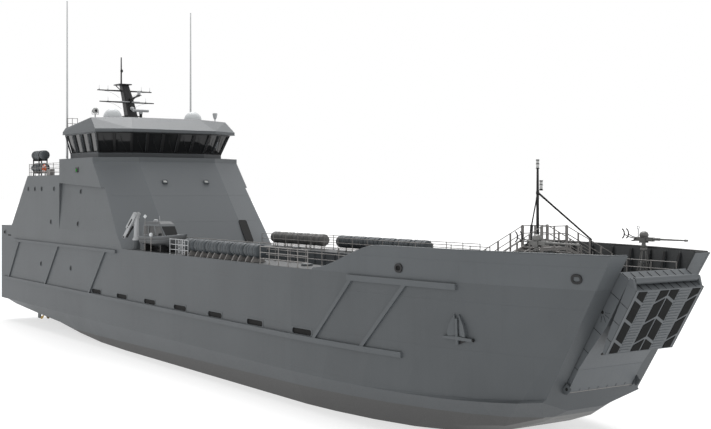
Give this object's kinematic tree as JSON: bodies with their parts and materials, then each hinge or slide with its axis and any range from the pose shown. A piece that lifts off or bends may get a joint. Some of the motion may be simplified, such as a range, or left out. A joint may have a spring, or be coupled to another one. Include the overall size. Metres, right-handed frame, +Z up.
{
  "type": "landing craft",
  "caption": "Flat-bottomed military landing craft with a folding bow ramp, an open vehicle deck, a stern bridge, raft racks and a deck crane.",
  "frame": {"origin": "on the flat bottom's plane, midway along the length and on the centreline", "axes": "+X forward to the bow, +Y to port, +Z up"},
  "size_m": [37.4204, 6.49, 14],
  "materials": {
    "hull_paint": "weathered haze grey paint",
    "ramp_paint": "weathered haze grey paint",
    "black_paint": "satin black paint",
    "light_grey": "satin light grey paint",
    "rail_paint": "satin warm grey paint",
    "gun_grey": "semi-matt grey paint on steel",
    "radome_white": "matt off-white plastic",
    "antenna_white": "matt pale grey plastic",
    "window_glass": "dark tinted glass",
    "raft_case": "matt dark grey plastic",
    "boat_grey": "matt dark grey paint",
    "bronze": "bare bronze",
    "steel": "bare steel"
  },
  "bodies": {
    "ship": {"hull": "hull_paint", "deckhouse": "hull_paint", "bridge_parapet": "hull_paint", "wheelhouse_walls": "hull_paint", "wheelhouse_windows": "window_glass", "wheelhouse_roof": "hull_paint", "fenders_starboard": "hull_paint", "fenders_port": "hull_paint", "bulwark_starboard": "hull_paint", "bulwark_port": "hull_paint", "anchor_starboard": "hull_paint", "anchor_port": "hull_paint", "main_mast": "black_paint", "radome_starboard": "radome_white", "radome_port": "radome_white", "whip_antenna_starboard": "antenna_white", "whip_antenna_port": "antenna_white", "searchlight_starboard": "light_grey", "searchlight_port": "light_grey", "aft_liferafts": "raft_case", "raft_row_starboard": "raft_case", "raft_row_port_aft": "raft_case", "raft_row_port_forward": "raft_case", "raft_deck_rails_aft": "rail_paint", "raft_deck_rails_starboard": "rail_paint", "raft_deck_rails_port": "rail_paint", "casing_rails_starboard": "rail_paint", "casing_rails_port": "rail_paint", "forecastle_rails_starboard": "rail_paint", "forecastle_rails_port": "rail_paint", "edge_rails_starboard": "rail_paint", "edge_rails_port": "rail_paint", "catwalk": "rail_paint", "fore_mast": "black_paint", "rescue_boat": "boat_grey", "boat_cradle": "black_paint", "crane_base": "black_paint", "gun_pedestal_starboard": "gun_grey", "gun_pedestal_port": "gun_grey", "ramp_hinge_pin": "black_paint", "propeller_shaft_starboard": "steel", "propeller_shaft_port": "steel"},
    "ramp": {"bow_ramp": "ramp_paint"},
    "flap": {"ramp_flap": "ramp_paint"},
    "radar": {"radar_scanner": "light_grey"},
    "crane_post": {"crane_column": "light_grey"},
    "crane_arm": {"crane_boom": "light_grey"},
    "screw_starboard": {"propeller_starboard": "bronze"},
    "screw_port": {"propeller_port": "bronze"},
    "steering_starboard": {"rudder_starboard": "hull_paint"},
    "steering_port": {"rudder_port": "hull_paint"},
    "turning_gun_starboard": {"gun_starboard": "gun_grey"},
    "turning_gun_port": {"gun_port": "gun_grey"}
  },
  "joints": [
    {"name": "ramp_hinge", "type": "hinge", "parent": "ship", "child": "ramp", "pos_m": [16.5598, 0, 1.5475], "axis": [0, 1, 0], "range_deg": [0, 70]},
    {"name": "flap_hinge", "type": "hinge", "parent": "ramp", "child": "flap", "pos_m": [18.55254, 0, 4.11688], "axis": [0, -1, 0], "range_deg": [0, 180]},
    {"name": "radar_spin", "type": "hinge", "parent": "ship", "child": "radar", "pos_m": [-9.7602, 0, 9.3103], "axis": [0, 0, 1], "continuous": true},
    {"name": "crane_slew", "type": "hinge", "parent": "ship", "child": "crane_post", "pos_m": [-3.5852, -2.86, 4.235], "axis": [0, 0, 1], "range_deg": [0, 90]},
    {"name": "crane_luff", "type": "hinge", "parent": "crane_post", "child": "crane_arm", "pos_m": [-3.5852, -2.86, 5.175], "axis": [-0.5446, 0.8387, 0], "range_deg": [0, 120]},
    {"name": "propeller_spin_starboard", "type": "hinge", "parent": "ship", "child": "screw_starboard", "pos_m": [-16.2602, -1.92, 0.33], "axis": [1, 0, 0], "continuous": true},
    {"name": "propeller_spin_port", "type": "hinge", "parent": "ship", "child": "screw_port", "pos_m": [-16.2602, 1.92, 0.33], "axis": [1, 0, 0], "continuous": true},
    {"name": "rudder_turn_starboard", "type": "hinge", "parent": "ship", "child": "steering_starboard", "pos_m": [-16.9352, -1.92, 0.575], "axis": [0, 0, 1], "range_deg": [-35, 35]},
    {"name": "rudder_turn_port", "type": "hinge", "parent": "ship", "child": "steering_port", "pos_m": [-16.9352, 1.92, 0.575], "axis": [0, 0, 1], "range_deg": [-35, 35]},
    {"name": "gun_train_starboard", "type": "hinge", "parent": "ship", "child": "turning_gun_starboard", "pos_m": [16.3648, -1.775, 4.675], "axis": [0, 0, 1], "range_deg": [-120, 90]},
    {"name": "gun_train_port", "type": "hinge", "parent": "ship", "child": "turning_gun_port", "pos_m": [16.3648, 1.775, 4.675], "axis": [0, 0, 1], "range_deg": [-90, 120]}
  ]
}
